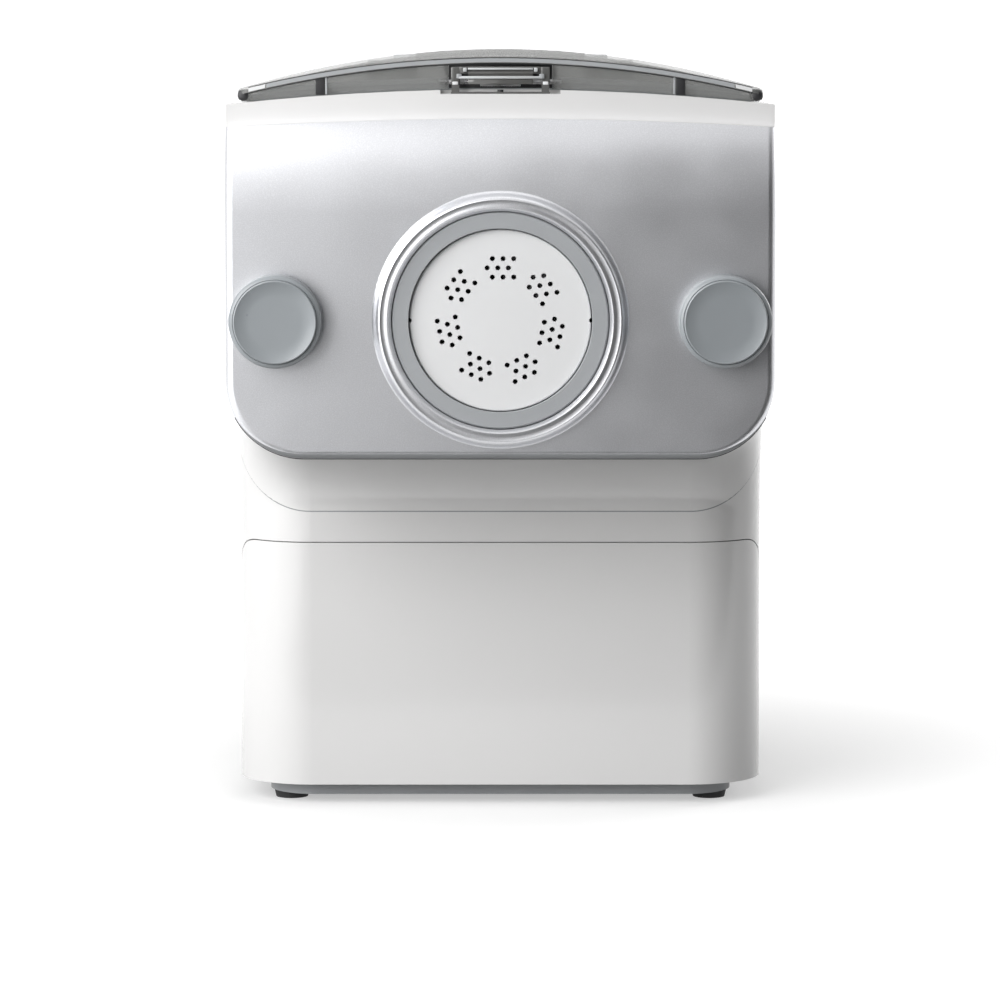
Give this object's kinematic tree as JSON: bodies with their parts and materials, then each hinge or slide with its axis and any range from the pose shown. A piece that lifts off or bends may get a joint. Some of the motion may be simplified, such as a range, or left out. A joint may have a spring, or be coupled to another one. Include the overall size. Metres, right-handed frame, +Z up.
{
  "type": "electric pasta maker",
  "caption": "Worktop machine that mixes dough in a lidded chamber and pushes it through a shaping disc in its silver front panel; drawer below.",
  "frame": {"origin": "middle of the machine's outline on the surface it stands on", "axes": "+Z up, front panel faces -Y, +X to the right seen from the front"},
  "size_m": [0.215, 0.343, 0.3084],
  "materials": {
    "white_housing": "glossy white moulded plastic",
    "silver_panel": "fine silver metallic paint, satin",
    "smoke_lid": "clear smoke-grey plastic",
    "clear_plastic": "clear colourless plastic",
    "grey_plastic": "satin blue-grey plastic",
    "knob_grey": "satin blue-grey plastic",
    "die_white": "white food-safe plastic, satin",
    "chamber_grey": "translucent grey food-safe plastic",
    "dark_plastic": "black plastic",
    "inner_plastic": "grey technical plastic",
    "rubber": "black rubber",
    "silicone": "pale silicone",
    "steel": "brushed stainless steel",
    "gear_plastic": "natural acetal",
    "copper": "enamelled copper wire",
    "lamination": "stamped steel laminations",
    "board_green": "printed circuit board",
    "window_glass": "dark display window",
    "button_grey": "satin light grey plastic"
  },
  "bodies": {
    "base": {"upper_housing": "white_housing", "lower_housing": "white_housing", "rear_cover": "white_housing", "drawer_rails": "inner_plastic", "base_plate": "grey_plastic", "feet": "rubber", "housing_screws": "steel", "front_frame": "steel", "bulkhead": "inner_plastic", "mixing_chamber": "chamber_grey", "chamber_seals": "silicone", "extrusion_tube": "chamber_grey", "intermediate_pin": "steel", "gear_case": "dark_plastic", "gear_cover": "dark_plastic", "bearings": "steel", "motor_stator": "lamination", "motor_coils": "copper", "motor_brackets": "steel", "motor_bolts": "steel", "control_board": "board_green", "display_board": "board_green", "control_fascia": "grey_plastic", "display_window": "window_glass", "power_inlet": "dark_plastic", "inlet_pins": "steel", "lid_switch": "dark_plastic", "lid_catch": "clear_plastic", "hinge_pins": "steel"},
    "drive": {"drive_shaft": "steel", "output_gear": "gear_plastic", "mixing_paddle": "die_white", "extrusion_screw": "die_white"},
    "reduction": {"intermediate_gear": "gear_plastic"},
    "motor": {"motor_rotor": "lamination", "motor_pinion": "steel", "cooling_fan": "dark_plastic"},
    "panel": {"front_panel": "silver_panel", "panel_liner": "inner_plastic", "panel_seal": "silicone", "shaping_disc": "die_white"},
    "ring": {"die_ring": "grey_plastic"},
    "left_clamp": {"left_knob": "knob_grey", "left_clamp_cam": "steel"},
    "right_clamp": {"right_knob": "knob_grey", "right_clamp_cam": "steel"},
    "lid": {"lid_cover": "smoke_lid", "pouring_grate": "smoke_lid", "latch_pin": "steel", "latch_spring": "steel"},
    "latch": {"lid_latch": "clear_plastic"},
    "drawer": {"drawer_front": "white_housing", "drawer_tray": "chamber_grey", "spare_discs": "die_white"},
    "power_key": {"power_button": "button_grey"},
    "mode_key": {"mode_button": "button_grey"},
    "start_key": {"start_button": "button_grey"},
    "minus_key": {"minus_button": "button_grey"},
    "plus_key": {"plus_button": "button_grey"}
  },
  "joints": [
    {"name": "lid_hinge", "type": "hinge", "parent": "base", "child": "lid", "pos_m": [0, 0.004, 0.2995], "axis": [-1, 0, 0], "range_deg": [0, 95]},
    {"name": "latch_lift", "type": "hinge", "parent": "lid", "child": "latch", "pos_m": [0, -0.1385, 0.2957], "axis": [1, 0, 0], "range_deg": [0, 18], "stiffness_Nm_per_rad": 0.02},
    {"name": "panel_slide", "type": "slide", "parent": "base", "child": "panel", "axis": [0, -1, 0], "range_m": [0, 0.1]},
    {"name": "left_clamp_turn", "type": "hinge", "parent": "panel", "child": "left_clamp", "pos_m": [-0.0875, -0.15, 0.203], "axis": [0, 1, 0], "range_deg": [0, 90]},
    {"name": "right_clamp_turn", "type": "hinge", "parent": "panel", "child": "right_clamp", "pos_m": [0.0875, -0.15, 0.203], "axis": [0, 1, 0], "range_deg": [0, 90]},
    {"name": "ring_turn", "type": "hinge", "parent": "panel", "child": "ring", "pos_m": [0, -0.155, 0.203], "axis": [0, 1, 0], "range_deg": [0, 60]},
    {"name": "drawer_slide", "type": "slide", "parent": "base", "child": "drawer", "axis": [0, -1, 0], "range_m": [0, 0.075]},
    {"name": "drive_spin", "type": "hinge", "parent": "base", "child": "drive", "pos_m": [0, 0, 0.203], "axis": [0, 1, 0], "continuous": true},
    {"name": "reduction_spin", "type": "hinge", "parent": "base", "child": "reduction", "pos_m": [0, 0.02, 0.1365], "axis": [0, 1, 0], "continuous": true},
    {"name": "motor_spin", "type": "hinge", "parent": "base", "child": "motor", "pos_m": [0, 0.08, 0.089], "axis": [0, 1, 0], "continuous": true},
    {"name": "power_press", "type": "slide", "parent": "base", "child": "power_key", "axis": [0, 0, -1], "range_m": [0, 0.0012], "stiffness_N_per_m": 300},
    {"name": "mode_press", "type": "slide", "parent": "base", "child": "mode_key", "axis": [0, 0, -1], "range_m": [0, 0.0012], "stiffness_N_per_m": 300},
    {"name": "start_press", "type": "slide", "parent": "base", "child": "start_key", "axis": [0, 0, -1], "range_m": [0, 0.0012], "stiffness_N_per_m": 300},
    {"name": "minus_press", "type": "slide", "parent": "base", "child": "minus_key", "axis": [0, 0, -1], "range_m": [0, 0.0012], "stiffness_N_per_m": 300},
    {"name": "plus_press", "type": "slide", "parent": "base", "child": "plus_key", "axis": [0, 0, -1], "range_m": [0, 0.0012], "stiffness_N_per_m": 300}
  ],
  "couplings": [
    {"joint": "reduction_spin", "follows": "drive_spin", "ratio": -3.75},
    {"joint": "motor_spin", "follows": "drive_spin", "ratio": 20}
  ]
}
